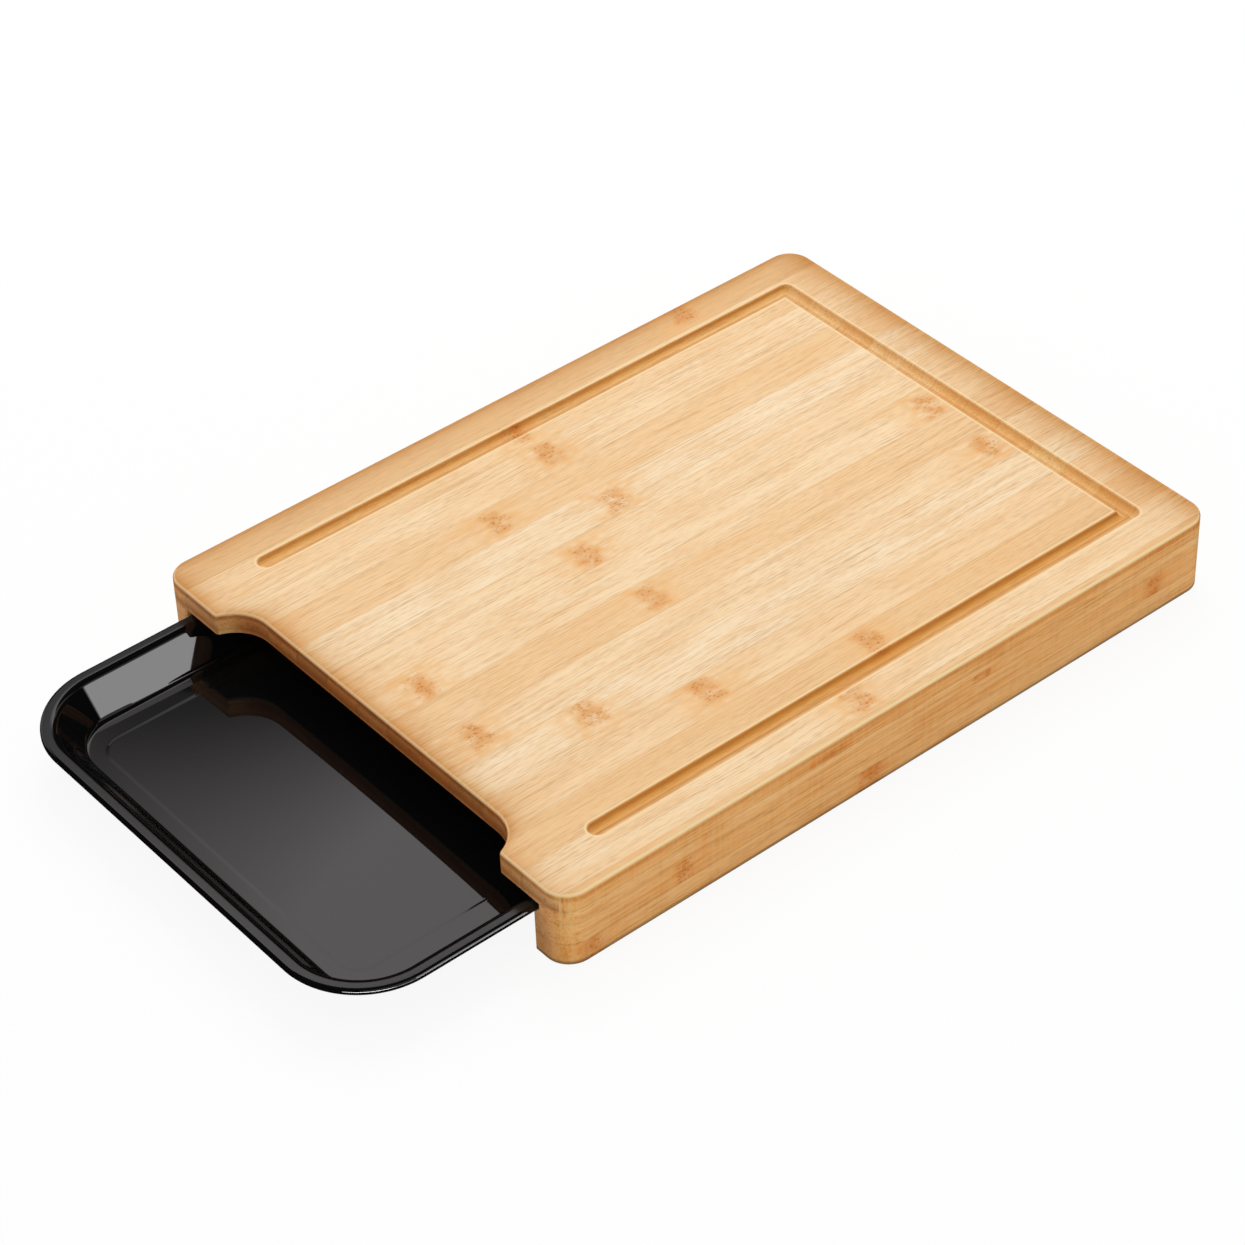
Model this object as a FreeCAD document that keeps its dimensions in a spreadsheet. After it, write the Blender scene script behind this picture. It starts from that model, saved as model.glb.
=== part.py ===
import FreeCAD, Part
import math
import os
import re

import Sketcher

# Bamboo cutting board with a pull-out tray, in millimetres.
#
# Frame: +Z up, the board's length along Y and its width along X. The tray draws out towards -Y,
# which is the front, and stands part of the way out. The origin is on the resting plane, under
# the middle of the whole footprint with the tray where it stands. The sketches are drawn about
# the middle of the board, and each finished piece's Placement carries it from there.
#
# The board is glued up from bamboo slats: three plies of slats make the top plate, and stacks
# of slats under it make the side rails and the rear rail. The glued block is then routed,
# rounded and sanded as one, so a machined block is built first here, and each slat is its share
# of that block. The tray is a separate moulding that hangs by its rim on ledges in the rails.

SIZES = {
    # The block
    "board_length": 380.0,
    "board_width": 285.0,
    "board_height": 40.0,
    "corner_radius": 12.0,
    "edge_round": 1.5,
    "foot_ease": 0.5,
    "mouth_ease": 0.8,
    # The plate and its plies of slats
    "plate_thickness": 12.0,
    "top_ply": 4.4,
    "lower_ply": 3.0,
    "slat_width": 21.88,
    "first_seam": 124.0,
    "middle_shift": 1.4,
    "lower_shift": 0.6,
    # The scraping recess in the front edge of the plate
    "recess_depth": 14.0,
    "recess_flat": 164.0,
    "recess_round": 20.0,
    "recess_corner": 2.0,
    # The juice groove, cut by a round-nosed bit along a U that is open towards the front
    "groove_radius": 4.2,
    "groove_depth": 3.8,
    "groove_lip": 0.5,
    "groove_half_span": 117.0,
    "groove_rear": 163.3,
    "groove_front": 150.3,
    # The rails, and the ledges in them that carry the tray
    "rail_width": 20.0,
    "ledge_height": 23.5,
    "ledge_depth": 3.5,
    "ledge_round": 0.8,
    "rail_seam": 11.8,
    # The tray
    "tray_width": 249.0,
    "tray_length": 359.0,
    "tray_reach": 98.5,
    "tray_depth": 16.8,
    "rim_thickness": 2.4,
    "rim_width": 6.6,
    "rim_corner": 40.8,
    "rim_round": 1.8,
    "hollow_round": 4.6,
    "wall_run": 11.8,
    "wall_skin": 2.4,
    "floor_thickness": 2.0,
    "floor_round": 3.0,
    "panel_side_inset": 13.4,
    "panel_end_inset": 9.4,
    "panel_corner": 9.5,
    "panel_rise": 0.3,
    "foot_ring_width": 2.0,
    "foot_ring_drop": 1.2,
}

SLAT_COUNT = 14
PARTS_FOLDER = "parts"

# Sums of sizes that several functions use
FULL_LENGTH = ("-board_length / 2", "board_length / 2")
TRAY_FRONT = "board_length / 2 + tray_reach"
TRAY_REAR = "tray_length - board_length / 2 - tray_reach"
RIM_TOP = "ledge_height + rim_thickness"
FLOOR_TOP = "ledge_height + rim_thickness - tray_depth"
WALL_DRAFT = "-atan(wall_run / tray_depth)"
FRAME_SHIFT = "tray_reach / 2"

# How far a cutting outline runs past the block, and what counts as the same place or as a change
CLEAR = 10.0
TOLERANCE = 1e-4
LEAST_CHANGE = 1.0

# The sketcher's own numbers for its origin, its vertical axis and the points of a curve
ORIGIN_POINT = (-1, 1)
VERTICAL_AXIS = -2
START, END, CENTRE = 1, 2, 3


# Sizes


def make_sheet(document):
    """A spreadsheet with one named cell for each driving dimension."""
    sheet = document.addObject("Spreadsheet::Sheet", "sizes")
    sheet.Label = "sizes"
    for row, (name, value) in enumerate(SIZES.items(), start=1):
        sheet.set(f"A{row}", name)
        sheet.set(f"B{row}", str(value))
        sheet.setAlias(f"B{row}", name)
    document.recompute()


def in_sizes(text, write):
    """The text with each size's name written another way."""

    def swap(word):
        return write(word.group()) if word.group() in SIZES else word.group()

    return re.sub(r"[a-z]\w+", swap, text)


def number(text):
    """What a sum of sizes comes to."""
    return FreeCAD.Units.Quantity(in_sizes(text, lambda name: f"({SIZES[name]})")).Value


def bind(thing, path, text):
    """Ties a property or a named constraint to a sum of sizes in the sheet."""
    thing.setExpression(path, in_sizes(text, lambda name: f"<<sizes>>.{name}"))


# Sketches


def origin_plane(body, plane):
    """One of the body's own three origin planes."""
    return next(item for item in body.Origin.OriginFeatures if item.Role == f"{plane}_Plane")


def make_sketch(body, name, plane="XY", offset=None, across=None):
    """A sketch on an origin plane, moved along its normal by offset and along its own X by across."""
    sketch = body.newObject("Sketcher::SketchObject", name)
    sketch.AttachmentSupport = (origin_plane(body, plane), [""])
    sketch.MapMode = "FlatFace"
    if offset:
        bind(sketch, "AttachmentOffset.Base.z", offset)
    if across:
        bind(sketch, "AttachmentOffset.Base.x", across)
    return sketch


def add_line(sketch, x1, y1, x2, y2):
    """A line between two points."""
    return sketch.addGeometry(Part.LineSegment(FreeCAD.Vector(x1, y1, 0), FreeCAD.Vector(x2, y2, 0)), False)


def add_arc(sketch, x, y, radius, first, last):
    """An arc about (x, y), counter-clockwise between two angles in degrees."""
    circle = Part.Circle(FreeCAD.Vector(x, y, 0), FreeCAD.Vector(0, 0, 1), radius)
    return sketch.addGeometry(Part.ArcOfCircle(circle, math.radians(first), math.radians(last)), False)


def constrain(sketch, kind, *places):
    """A constraint without a size."""
    sketch.addConstraint(Sketcher.Constraint(kind, *places))


def dimension(sketch, name, kind, places, text):
    """A named dimension, tied to a sum of sizes."""
    index = sketch.addConstraint(Sketcher.Constraint(kind, *places, number(text)))
    sketch.renameConstraint(index, name)
    bind(sketch, f"Constraints.{name}", text)


def place_sides(sketch, name, lines, half_width, front, rear):
    """Squares up the bottom, right, top and left lines, and sets how far each is from the origin."""
    bottom, right, top, left = lines
    constrain(sketch, "Horizontal", bottom)
    constrain(sketch, "Horizontal", top)
    constrain(sketch, "Vertical", right)
    constrain(sketch, "Vertical", left)
    dimension(sketch, f"{name}_right", "DistanceX", (*ORIGIN_POINT, right, START), half_width)
    dimension(sketch, f"{name}_left", "DistanceX", (left, START, *ORIGIN_POINT), half_width)
    dimension(sketch, f"{name}_front", "DistanceY", (bottom, START, *ORIGIN_POINT), front)
    dimension(sketch, f"{name}_rear", "DistanceY", (*ORIGIN_POINT, top, START), rear)


def rectangle(sketch, name, half_width, front, rear):
    """A rectangle centred on the Y axis, from front before the origin to rear behind it."""
    x, low, high = number(half_width), -number(front), number(rear)
    corners = [(-x, low), (x, low), (x, high), (-x, high)]
    lines = [add_line(sketch, *a, *b) for a, b in zip(corners, corners[1:] + corners[:1])]
    for line, following in zip(lines, lines[1:] + lines[:1]):
        constrain(sketch, "Coincident", line, END, following, START)
    place_sides(sketch, name, lines, half_width, front, rear)


def rounded_rectangle(sketch, name, half_width, front, rear, corner):
    """A rectangle as above with four equal round corners."""
    x, low, high, r = number(half_width), -number(front), number(rear), number(corner)
    lines = [
        add_line(sketch, r - x, low, x - r, low),
        add_line(sketch, x, low + r, x, high - r),
        add_line(sketch, x - r, high, r - x, high),
        add_line(sketch, -x, high - r, -x, low + r),
    ]
    arcs = [
        add_arc(sketch, x - r, low + r, r, -90, 0),
        add_arc(sketch, x - r, high - r, r, 0, 90),
        add_arc(sketch, r - x, high - r, r, 90, 180),
        add_arc(sketch, r - x, low + r, r, 180, 270),
    ]
    for line, arc, following in zip(lines, arcs, lines[1:] + lines[:1]):
        constrain(sketch, "Tangent", line, END, arc, START)
        constrain(sketch, "Tangent", arc, END, following, START)
    for arc in arcs[1:]:
        constrain(sketch, "Equal", arcs[0], arc)
    dimension(sketch, f"{name}_corner", "Radius", (arcs[0],), corner)
    place_sides(sketch, name, lines, half_width, front, rear)


# Features


def make_body(document, label):
    """An empty body with a label of its own."""
    body = document.addObject("PartDesign::Body", label)
    body.Label = label
    return body


def require_change(feature, base):
    """Stops the build if a cut or a round left the shape under it as it was."""
    if abs(base.Shape.Volume - feature.Shape.Volume) < LEAST_CHANGE:
        raise RuntimeError(f"{feature.Label} changes nothing")


def pad(body, name, sketch, length, upwards=True, taper=None):
    """Adds the sketch's outline, drawn out upwards or downwards."""
    feature = body.newObject("PartDesign::Pad", name)
    feature.Profile = sketch
    feature.Reversed = not upwards
    bind(feature, "Length", length)
    if taper:
        bind(feature, "TaperAngle", taper)
    body.Document.recompute()
    return feature


def pocket(body, name, sketch, length, upwards=True, taper=None):
    """Cuts the sketch's outline away, upwards or downwards."""
    base = body.Tip
    feature = body.newObject("PartDesign::Pocket", name)
    feature.Profile = sketch
    feature.Reversed = upwards
    bind(feature, "Length", length)
    if taper:
        bind(feature, "TaperAngle", taper)
    body.Document.recompute()
    require_change(feature, base)
    return feature


def dress_edges(body, kind, name, size_path, size, wanted):
    """Adds a fillet or a chamfer to every edge of the body so far that the test picks."""
    base = body.Tip
    picked = [f"Edge{i}" for i, edge in enumerate(base.Shape.Edges, start=1) if wanted(edge)]
    feature = body.newObject(kind, name)
    feature.Base = (base, picked)
    bind(feature, size_path, size)
    body.Document.recompute()
    require_change(feature, base)
    return feature


def round_edges(body, name, radius, wanted):
    """Rounds every edge that the test picks."""
    return dress_edges(body, "PartDesign::Fillet", name, "Radius", radius, wanted)


def ease_edges(body, name, size, wanted):
    """Takes the sharpness off every edge that the test picks, with a small flat."""
    return dress_edges(body, "PartDesign::Chamfer", name, "Size", size, wanted)


def lies_at(edge, height):
    """Whether the whole edge lies at one height."""
    return abs(edge.BoundBox.ZMin - height) < TOLERANCE and abs(edge.BoundBox.ZMax - height) < TOLERANCE


def is_upright(edge):
    """Whether the edge is a vertical line."""
    return edge.BoundBox.XLength < TOLERANCE and edge.BoundBox.YLength < TOLERANCE


# The board


def outline_block(body):
    """The glued block, still solid, at its full height."""
    sketch = make_sketch(body, "block_outline")
    half_length = "board_length / 2"
    rounded_rectangle(sketch, "block", "board_width / 2", half_length, half_length, "corner_radius")
    pad(body, "block", sketch, "board_height")


def cut_tray_bay(body):
    """The bay under the plate, open at the front, and the wider slot over the ledges."""
    front = f"board_length / 2 + {CLEAR}"
    rear = "board_length / 2 - rail_width"
    bay = make_sketch(body, "bay_outline")
    rectangle(bay, "bay", "board_width / 2 - rail_width", front, rear)
    pocket(body, "bay", bay, "board_height - plate_thickness")
    slot = make_sketch(body, "slot_outline", offset="ledge_height")
    rectangle(slot, "slot", "board_width / 2 - rail_width + ledge_depth", front, rear)
    pocket(body, "slot", slot, "board_height - plate_thickness - ledge_height")


def cut_recess(body):
    """The scraping recess: a straight wall that two arcs lead out to the front edge."""
    sketch = make_sketch(body, "recess_outline")
    x, wall = number("recess_flat / 2"), -number("board_length / 2 - recess_depth")
    r = number("recess_round")
    back = add_line(sketch, -x, wall, x, wall)
    right = add_arc(sketch, x, wall - r, r, 0, 90)
    front = add_line(sketch, x + r, wall - r, -x - r, wall - r)
    left = add_arc(sketch, -x, wall - r, r, 90, 180)
    constrain(sketch, "Tangent", back, END, right, END)
    constrain(sketch, "Tangent", back, START, left, START)
    constrain(sketch, "Coincident", front, START, right, START)
    constrain(sketch, "Coincident", front, END, left, END)
    constrain(sketch, "Horizontal", back)
    constrain(sketch, "Horizontal", front)
    constrain(sketch, "Equal", right, left)
    constrain(sketch, "PointOnObject", right, CENTRE, front)
    dimension(sketch, "wall", "DistanceY", (back, START, *ORIGIN_POINT), "board_length / 2 - recess_depth")
    dimension(sketch, "right_end", "DistanceX", (*ORIGIN_POINT, back, END), "recess_flat / 2")
    dimension(sketch, "left_end", "DistanceX", (back, START, *ORIGIN_POINT), "recess_flat / 2")
    dimension(sketch, "end_round", "Radius", (right,), "recess_round")
    pocket(body, "recess", sketch, "board_height")
    front_face = -number("board_length / 2")
    bay_side = number("board_width / 2 - rail_width")

    def is_recess_corner(edge):
        middle = edge.BoundBox.Center
        return is_upright(edge) and abs(middle.y - front_face) < TOLERANCE and abs(middle.x) < bay_side - CLEAR

    round_edges(body, "recess_corners", "recess_corner", is_recess_corner)


def soften_block(body):
    """The rounded edges of the working face and the ledges, and the eased ones of the mouth and foot."""
    top = number("board_height")
    ledge = number("ledge_height")
    under_plate = number("board_height - plate_thickness")
    front_face = -number("board_length / 2")
    bay_rear = number("board_length / 2 - rail_width")
    bay_side = number("board_width / 2 - rail_width")
    slot_side = number("board_width / 2 - rail_width + ledge_depth")
    corner_start = number("board_width / 2 - corner_radius")

    def is_ledge_edge(edge):
        return lies_at(edge, ledge) and abs(abs(edge.BoundBox.Center.x) - bay_side) < TOLERANCE

    def is_mouth_edge(edge):
        box = edge.BoundBox
        on_front = abs(box.YMin - front_face) < TOLERANCE and box.XLength < TOLERANCE
        upright = is_upright(edge) and on_front and abs(box.Center.x) < corner_start - TOLERANCE
        along_plate = lies_at(edge, under_plate) and box.YMax < -bay_rear and abs(box.Center.x) < slot_side
        return (upright and box.ZMin < under_plate - TOLERANCE) or along_plate

    round_edges(body, "top_edges", "edge_round", lambda edge: lies_at(edge, top))
    ease_edges(body, "mouth_edges", "mouth_ease", is_mouth_edge)
    round_edges(body, "ledge_edges", "ledge_round", is_ledge_edge)
    ease_edges(body, "foot_edges", "foot_ease", lambda edge: lies_at(edge, 0.0))


def bit_profile(sketch, whole):
    """The round-nosed bit's outline, or its right half, about the sketch's vertical axis."""
    axis_height = "board_height - groove_depth + groove_radius"
    low, high = number("board_height - groove_lip"), number("board_height + groove_lip")
    radius, centre = number("groove_radius"), number(axis_height)
    reach = math.sqrt(radius**2 - (centre - low) ** 2)
    lip = high - low
    dip = math.degrees(math.asin((centre - low) / radius))
    nose = add_arc(sketch, 0, centre, radius, dip - 180 if whole else -90, -dip)
    right = add_line(sketch, reach, low, reach + lip, high)
    if whole:
        top = add_line(sketch, reach + lip, high, -reach - lip, high)
        left = add_line(sketch, -reach - lip, high, -reach, low)
        constrain(sketch, "Equal", left, right)
        dimension(sketch, "left_foot", "DistanceY", (*ORIGIN_POINT, left, END), "board_height - groove_lip")
    else:
        top = add_line(sketch, reach + lip, high, 0, high)
        left = add_line(sketch, 0, high, 0, centre - radius)
        constrain(sketch, "Vertical", left)
    constrain(sketch, "Coincident", nose, END, right, START)
    constrain(sketch, "Coincident", right, END, top, START)
    constrain(sketch, "Coincident", top, END, left, START)
    constrain(sketch, "Coincident", left, END, nose, START)
    constrain(sketch, "Horizontal", top)
    constrain(sketch, "PointOnObject", nose, CENTRE, VERTICAL_AXIS)
    if not whole:
        constrain(sketch, "PointOnObject", left, START, VERTICAL_AXIS)
    dimension(sketch, "axis_height", "DistanceY", (*ORIGIN_POINT, nose, CENTRE), axis_height)
    dimension(sketch, "nose", "Radius", (nose,), "groove_radius")
    dimension(sketch, "lip_foot", "DistanceY", (*ORIGIN_POINT, right, START), "board_height - groove_lip")
    dimension(sketch, "lip_top", "DistanceY", (*ORIGIN_POINT, right, END), "board_height + groove_lip")
    dimension(sketch, "lip_run", "DistanceX", (right, START, right, END), "2 * groove_lip")


def groove_path(sketch):
    """The U that the bit follows: up the left side, across the rear and down the right side."""
    x, front, rear = number("groove_half_span"), -number("groove_front"), number("groove_rear")
    corners = [(-x, front), (-x, rear), (x, rear), (x, front)]
    left, across, right = [add_line(sketch, *a, *b) for a, b in zip(corners, corners[1:])]
    constrain(sketch, "Coincident", left, END, across, START)
    constrain(sketch, "Coincident", across, END, right, START)
    constrain(sketch, "Vertical", left)
    constrain(sketch, "Vertical", right)
    constrain(sketch, "Horizontal", across)
    dimension(sketch, "left_leg", "DistanceX", (left, START, *ORIGIN_POINT), "groove_half_span")
    dimension(sketch, "right_leg", "DistanceX", (*ORIGIN_POINT, right, START), "groove_half_span")
    dimension(sketch, "rear_leg", "DistanceY", (*ORIGIN_POINT, across, START), "groove_rear")
    dimension(sketch, "left_front", "DistanceY", (left, START, *ORIGIN_POINT), "groove_front")
    dimension(sketch, "right_front", "DistanceY", (right, END, *ORIGIN_POINT), "groove_front")


def cut_juice_groove(body):
    """The groove along the U, and the round ends that the bit leaves where it lifts out."""
    document = body.Document
    base = body.Tip
    path = make_sketch(body, "groove_path", offset="board_height")
    groove_path(path)
    profile = make_sketch(body, "groove_profile", "XZ", "groove_front", "0 - groove_half_span")
    bit_profile(profile, whole=True)
    legs = body.newObject("PartDesign::SubtractivePipe", "groove_legs")
    legs.Profile = profile
    legs.Spine = (path, ["Edge1", "Edge2", "Edge3"])
    legs.Transition = "Round corner"
    document.recompute()
    require_change(legs, base)
    half_profile = make_sketch(body, "groove_end_profile", "XZ", "groove_front", "groove_half_span")
    bit_profile(half_profile, whole=False)
    end = body.newObject("PartDesign::Groove", "groove_end")
    end.Profile = half_profile
    end.ReferenceAxis = (half_profile, ["V_Axis"])
    end.Angle = 360
    document.recompute()
    require_change(end, legs)
    ends = body.newObject("PartDesign::Mirrored", "groove_ends")
    ends.Originals = [end]
    ends.MirrorPlane = (origin_plane(body, "YZ"), [""])
    body.Tip = ends
    document.recompute()
    require_change(ends, end)


def make_board_block(document):
    """The whole board as one machined block, which the slats then share out."""
    body = make_body(document, "board_block")
    outline_block(body)
    cut_tray_bay(body)
    cut_recess(body)
    soften_block(body)
    cut_juice_groove(body)
    return body


def make_slat(document, block, label, x_span, y_span, z_span):
    """One glued piece: the share of the block inside a box with the given lows and highs."""
    box = document.addObject("Part::Box", f"{label}_blank")
    spans = zip("xyz", ("Length", "Width", "Height"), (x_span, y_span, z_span))
    for axis, side, (low, high) in spans:
        bind(box, f"Placement.Base.{axis}", low)
        bind(box, side, f"{high} - ({low})")
    slat = document.addObject("Part::Common", label)
    slat.Label = label
    slat.Base = block
    slat.Tool = box
    bind(slat, "Placement.Base.y", FRAME_SHIFT)
    return slat


def make_plate(document, block):
    """The top plate: three plies, each of slats laid side by side along the board."""
    top = "board_height"
    middle = "board_height - top_ply"
    lower = "board_height - plate_thickness + lower_ply"
    under = "board_height - plate_thickness"
    plies = [
        ("top", (middle, top), "-first_seam"),
        ("middle", (lower, middle), "-first_seam - middle_shift"),
        ("lower", (under, lower), "-first_seam + lower_shift"),
    ]
    slats = []
    for ply, z_span, first_seam in plies:
        seams = [f"{first_seam} + {i} * slat_width" for i in range(SLAT_COUNT - 1)]
        seams = ["-board_width / 2", *seams, "board_width / 2"]
        for i, x_span in enumerate(zip(seams, seams[1:]), start=1):
            label = f"{ply}_slat_{i:02d}"
            slats.append(make_slat(document, block, label, x_span, FULL_LENGTH, z_span))
    return slats


def make_rails(document, block):
    """The side rails and the rear rail, each two slats high with a narrower strip on top."""
    outer = "board_width / 2"
    inner = "(board_width / 2 - rail_width)"
    slot = "(board_width / 2 - rail_width + ledge_depth)"
    rear_span = ("board_length / 2 - rail_width", "board_length / 2")
    layers = [
        ("rail_lower", inner, ("0", "rail_seam")),
        ("rail_upper", inner, ("rail_seam", "ledge_height")),
        ("ledge_strip", slot, ("ledge_height", "board_height - plate_thickness")),
    ]
    pieces = []
    for layer, inside, z_span in layers:
        places = [
            ("left", (f"-{outer}", f"-{inside}"), FULL_LENGTH),
            ("right", (inside, outer), FULL_LENGTH),
            ("rear", (f"-{inside}", inside), rear_span),
        ]
        for side, x_span, y_span in places:
            pieces.append(make_slat(document, block, f"{side}_{layer}", x_span, y_span, z_span))
    return pieces


# The tray


def tray_outline(sketch, name, inset):
    """The rim's outline, moved inwards all round by inset."""
    front = f"{TRAY_FRONT} - ({inset})"
    rear = f"{TRAY_REAR} - ({inset})"
    rounded_rectangle(sketch, name, f"tray_width / 2 - ({inset})", front, rear, f"rim_corner - ({inset})")


def panel_outline(sketch, name, growth):
    """The floor panel's outline, moved outwards all round by growth."""
    side = f"rim_width + wall_run + panel_side_inset - {growth}"
    end = f"rim_width + wall_run + panel_end_inset - {growth}"
    half_width = f"tray_width / 2 - ({side})"
    corner = f"panel_corner + {growth}"
    rounded_rectangle(sketch, name, half_width, f"{TRAY_FRONT} - ({end})", f"{TRAY_REAR} - ({end})", corner)


def mould_shell(body):
    """The rim and the tub under it, hollowed with the same draft so that the wall is even."""
    rim = make_sketch(body, "rim_outline", offset="ledge_height")
    tray_outline(rim, "rim", "0")
    pad(body, "rim", rim, "rim_thickness")
    tub = make_sketch(body, "tub_outline", offset="ledge_height")
    tray_outline(tub, "tub", "rim_width + wall_run * rim_thickness / tray_depth - wall_skin")
    pad(body, "tub", tub, "tray_depth + floor_thickness - rim_thickness", False, WALL_DRAFT)
    hollow = make_sketch(body, "hollow_outline", offset=RIM_TOP)
    tray_outline(hollow, "hollow", "rim_width")
    pocket(body, "hollow", hollow, "tray_depth", False, WALL_DRAFT)


def rings_hollow(edge):
    """Whether the edge goes round the top of the hollow, and not round the outside of the rim."""
    box = edge.BoundBox
    half_width = number("tray_width / 2 - rim_width") + TOLERANCE
    front = number(f"rim_width - ({TRAY_FRONT})") - TOLERANCE
    rear = number(f"{TRAY_REAR} - rim_width") + TOLERANCE
    return -half_width < box.XMin and box.XMax < half_width and front < box.YMin and box.YMax < rear


def round_shell(body):
    """The floor's corners inside and out, and the rim's top edges."""
    floor, under = number(FLOOR_TOP), number(f"{FLOOR_TOP} - floor_thickness")
    rim_top = number(RIM_TOP)
    round_edges(body, "floor_corners", "floor_round", lambda edge: lies_at(edge, floor))
    round_edges(body, "tub_corners", "floor_round + floor_thickness", lambda edge: lies_at(edge, under))
    round_edges(body, "rim_edges", "rim_round", lambda edge: lies_at(edge, rim_top) and not rings_hollow(edge))
    round_edges(body, "hollow_edges", "hollow_round", lambda edge: lies_at(edge, rim_top) and rings_hollow(edge))


def shape_floor(body):
    """The floor's slightly raised panel, and the foot ring under its edge."""
    panel = make_sketch(body, "panel_outline", offset=FLOOR_TOP)
    panel_outline(panel, "panel", "0")
    pad(body, "panel", panel, "panel_rise")
    ring = make_sketch(body, "foot_ring_outline", offset=f"{FLOOR_TOP} - floor_thickness")
    panel_outline(ring, "inner", "0")
    panel_outline(ring, "outer", "foot_ring_width")
    pad(body, "foot_ring", ring, "foot_ring_drop", upwards=False)


def make_tray(document):
    """The moulded tray, partly drawn out."""
    body = make_body(document, "tray")
    mould_shell(body)
    round_shell(body)
    shape_floor(body)
    bind(body, "Placement.Base.y", FRAME_SHIFT)
    return body


# Export


def check_document(document):
    """Stops the build if any object of the document failed."""
    for thing in document.Objects:
        if {"Invalid", "Error"} & set(thing.State):
            raise RuntimeError(f"{thing.Label} failed: {thing.State}")


def export(pieces):
    """Writes each piece to its own STEP file, once every piece is one whole solid."""
    for piece in pieces:
        shape = piece.Shape
        if shape.isNull() or not shape.isValid() or len(shape.Solids) != 1:
            raise RuntimeError(f"{piece.Label} is not one valid solid")
    os.makedirs(PARTS_FOLDER, exist_ok=True)
    for piece in pieces:
        piece.Shape.exportStep(os.path.join(PARTS_FOLDER, f"{piece.Label}.step"))


def main():
    """Builds the document and writes its pieces."""
    document = FreeCAD.newDocument("cutting_board")
    make_sheet(document)
    block = make_board_block(document)
    pieces = [*make_plate(document, block), *make_rails(document, block), make_tray(document)]
    document.recompute()
    check_document(document)
    export(pieces)


main()
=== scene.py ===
"""Looks for the bamboo cutting board and the black tray that slides out from under it.

Lengths are in metres, except that names ending in _mm are in millimetres. The bamboo's finish is
laid out in millimetres from the middle of the board, so that it can be read off a ruler.
"""

import logging
import math
from dataclasses import dataclass
from enum import Enum
from functools import reduce
from typing import Any, Iterable, Optional, Sequence, Union

import bmesh
import bpy
from mathutils import Matrix, Vector

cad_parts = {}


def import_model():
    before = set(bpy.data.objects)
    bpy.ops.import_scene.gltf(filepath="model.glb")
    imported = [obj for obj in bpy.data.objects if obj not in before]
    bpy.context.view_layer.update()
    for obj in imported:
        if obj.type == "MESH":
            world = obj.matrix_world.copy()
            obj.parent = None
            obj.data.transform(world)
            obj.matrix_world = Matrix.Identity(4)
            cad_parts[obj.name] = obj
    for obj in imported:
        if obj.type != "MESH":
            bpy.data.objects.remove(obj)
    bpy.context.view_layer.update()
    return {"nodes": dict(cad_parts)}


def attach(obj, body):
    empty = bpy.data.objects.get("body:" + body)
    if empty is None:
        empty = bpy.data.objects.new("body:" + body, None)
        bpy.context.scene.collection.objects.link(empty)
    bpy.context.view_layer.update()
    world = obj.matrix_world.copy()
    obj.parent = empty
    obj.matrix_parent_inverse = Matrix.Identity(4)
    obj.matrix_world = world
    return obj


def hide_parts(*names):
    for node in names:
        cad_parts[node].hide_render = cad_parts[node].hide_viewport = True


log = logging.getLogger("cutting_board")

MM = 0.001
BOARD_MIDDLE_Y = 0.04925

# The noise runs from 0 to 1 and keeps near its middle; these carry it to about -1 to 1
NOISE_MIDDLE = 0.5
NOISE_SPREAD = 3.2

# A half width that puts a strip's seams outside the board, for the rails, which have none
UNSEAMED_MM = 400.0

# The tray's mesh: points nearer than this are one, and edges with less fall than this are level
WELD = 1e-6
LEVEL = 1e-5

Colour = tuple[float, float, float, float]


def paint(red: float, green: float, blue: float) -> Colour:
    """Turns a display colour into the linear one that shaders take.

    Args:
        red: Red, 0 to 255.
        green: Green, 0 to 255.
        blue: Blue, 0 to 255.

    Returns:
        The linear colour with an alpha of 1.
    """

    def linear(step: float) -> float:
        """One channel, from 0 to 255, as light from 0 to 1."""
        share = step / 255
        return share / 12.92 if share <= 0.04045 else ((share + 0.055) / 1.055) ** 2.4

    return linear(red), linear(green), linear(blue), 1.0


def add_object(name: str, mesh: bmesh.types.BMesh) -> bpy.types.Object:
    """Turns a mesh that has been worked on into an object of the scene, and frees it.

    Args:
        name: The object's name.
        mesh: The mesh.

    Returns:
        The object.
    """
    data = bpy.data.meshes.new(name)
    mesh.to_mesh(data)
    mesh.free()
    made = bpy.data.objects.new(name, data)
    bpy.context.scene.collection.objects.link(made)
    return made


def add_plane(name: str, side: float) -> bpy.types.Object:
    """Adds a level square about the origin.

    Args:
        name: Its name.
        side: The length of its sides.

    Returns:
        The square.
    """
    mesh = bmesh.new()
    bmesh.ops.create_grid(mesh, x_segments=1, y_segments=1, size=side / 2)
    return add_object(name, mesh)


# Shader maths


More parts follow.
